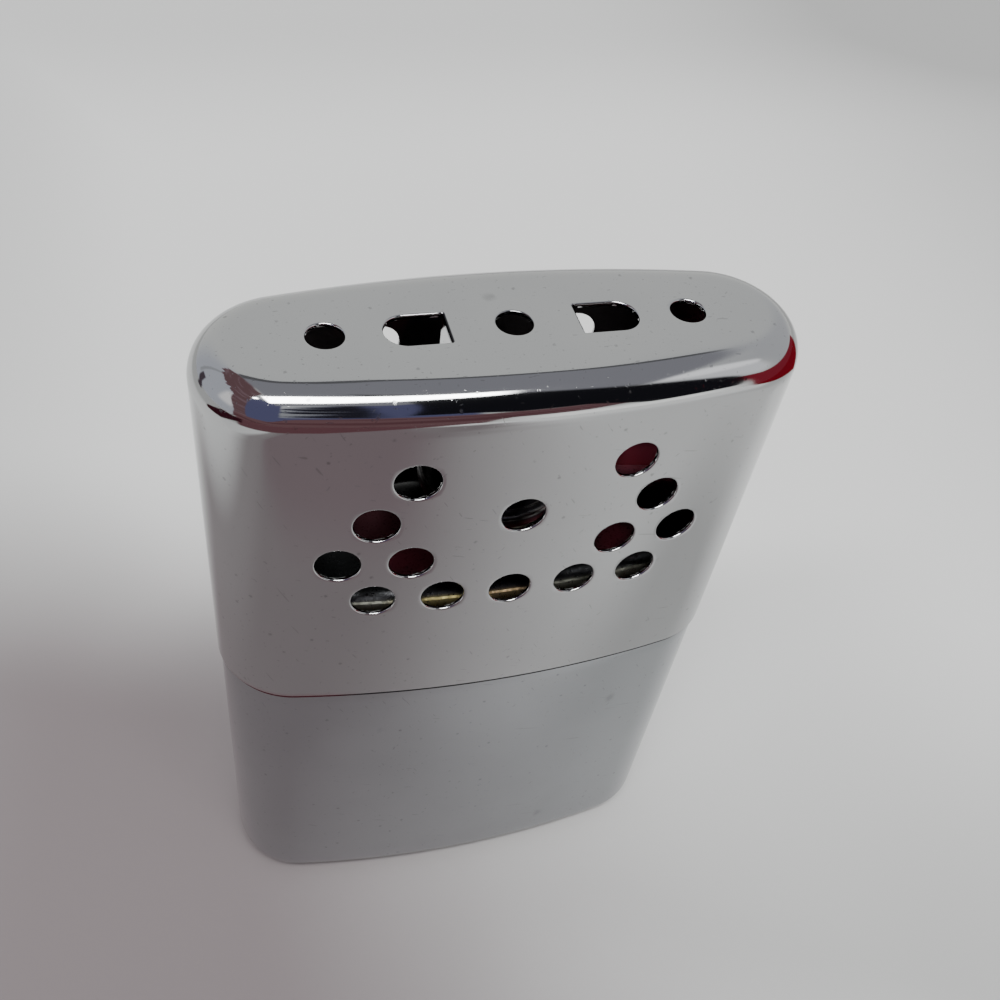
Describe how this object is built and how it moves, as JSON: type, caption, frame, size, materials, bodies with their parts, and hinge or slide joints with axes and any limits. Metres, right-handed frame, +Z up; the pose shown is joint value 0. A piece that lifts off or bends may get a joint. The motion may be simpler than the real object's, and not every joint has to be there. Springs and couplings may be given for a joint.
{
  "type": "catalytic hand warmer",
  "caption": "Flat oval pocket hand warmer: fuel tank below, lift-off catalytic burner on its neck, and a slip-over cover with round air vents.",
  "frame": {"origin": "centre of the tank's flat bottom, on the surface it stands on", "axes": "+Z up from the tank to the cover's top, X across the broad width, -Y out of the front face"},
  "size_m": [0.067, 0.024, 0.099],
  "materials": {
    "cover_chrome": "bright chrome plate, hazed and finely scratched by the pocket",
    "tank_chrome": "bright chrome plate, a little duller than the cover, with small marks",
    "deck_metal": "nickel-plated brass, warm from heat tint",
    "burner_nickel": "nickel-plated steel with straw and blue heat tint",
    "spring_wire": "hard drawn steel wire",
    "gauze_wire": "woven steel wire, heat darkened",
    "catalyst_wool": "grey catalyst-coated glass wool",
    "glass_wool": "white glass wool",
    "wick_cotton": "cotton cord wick",
    "cotton_wadding": "loose cotton wadding",
    "fibre_washer": "pressed fibre"
  },
  "bodies": {
    "tank": {"tank_body": "tank_chrome", "tank_deck": "deck_metal", "filler_neck": "deck_metal", "neck_gasket": "fibre_washer", "fuel_wadding": "cotton_wadding", "wick": "wick_cotton", "neck_plug": "glass_wool", "wick_screen": "gauze_wire", "wick_screen_ring": "deck_metal"},
    "burner": {"burner_socket": "burner_nickel", "socket_clamp_ring": "spring_wire", "lower_gauze": "gauze_wire", "catalyst_pad": "catalyst_wool", "upper_gauze": "gauze_wire", "burner_cage": "burner_nickel"},
    "cover": {"cover": "cover_chrome"}
  },
  "joints": [
    {"name": "cover_slide", "type": "slide", "parent": "tank", "child": "cover", "axis": [0, 0, 1], "range_m": [0, 0.06]},
    {"name": "burner_lift", "type": "slide", "parent": "tank", "child": "burner", "axis": [0, 0, 1], "range_m": [0, 0.008]}
  ]
}
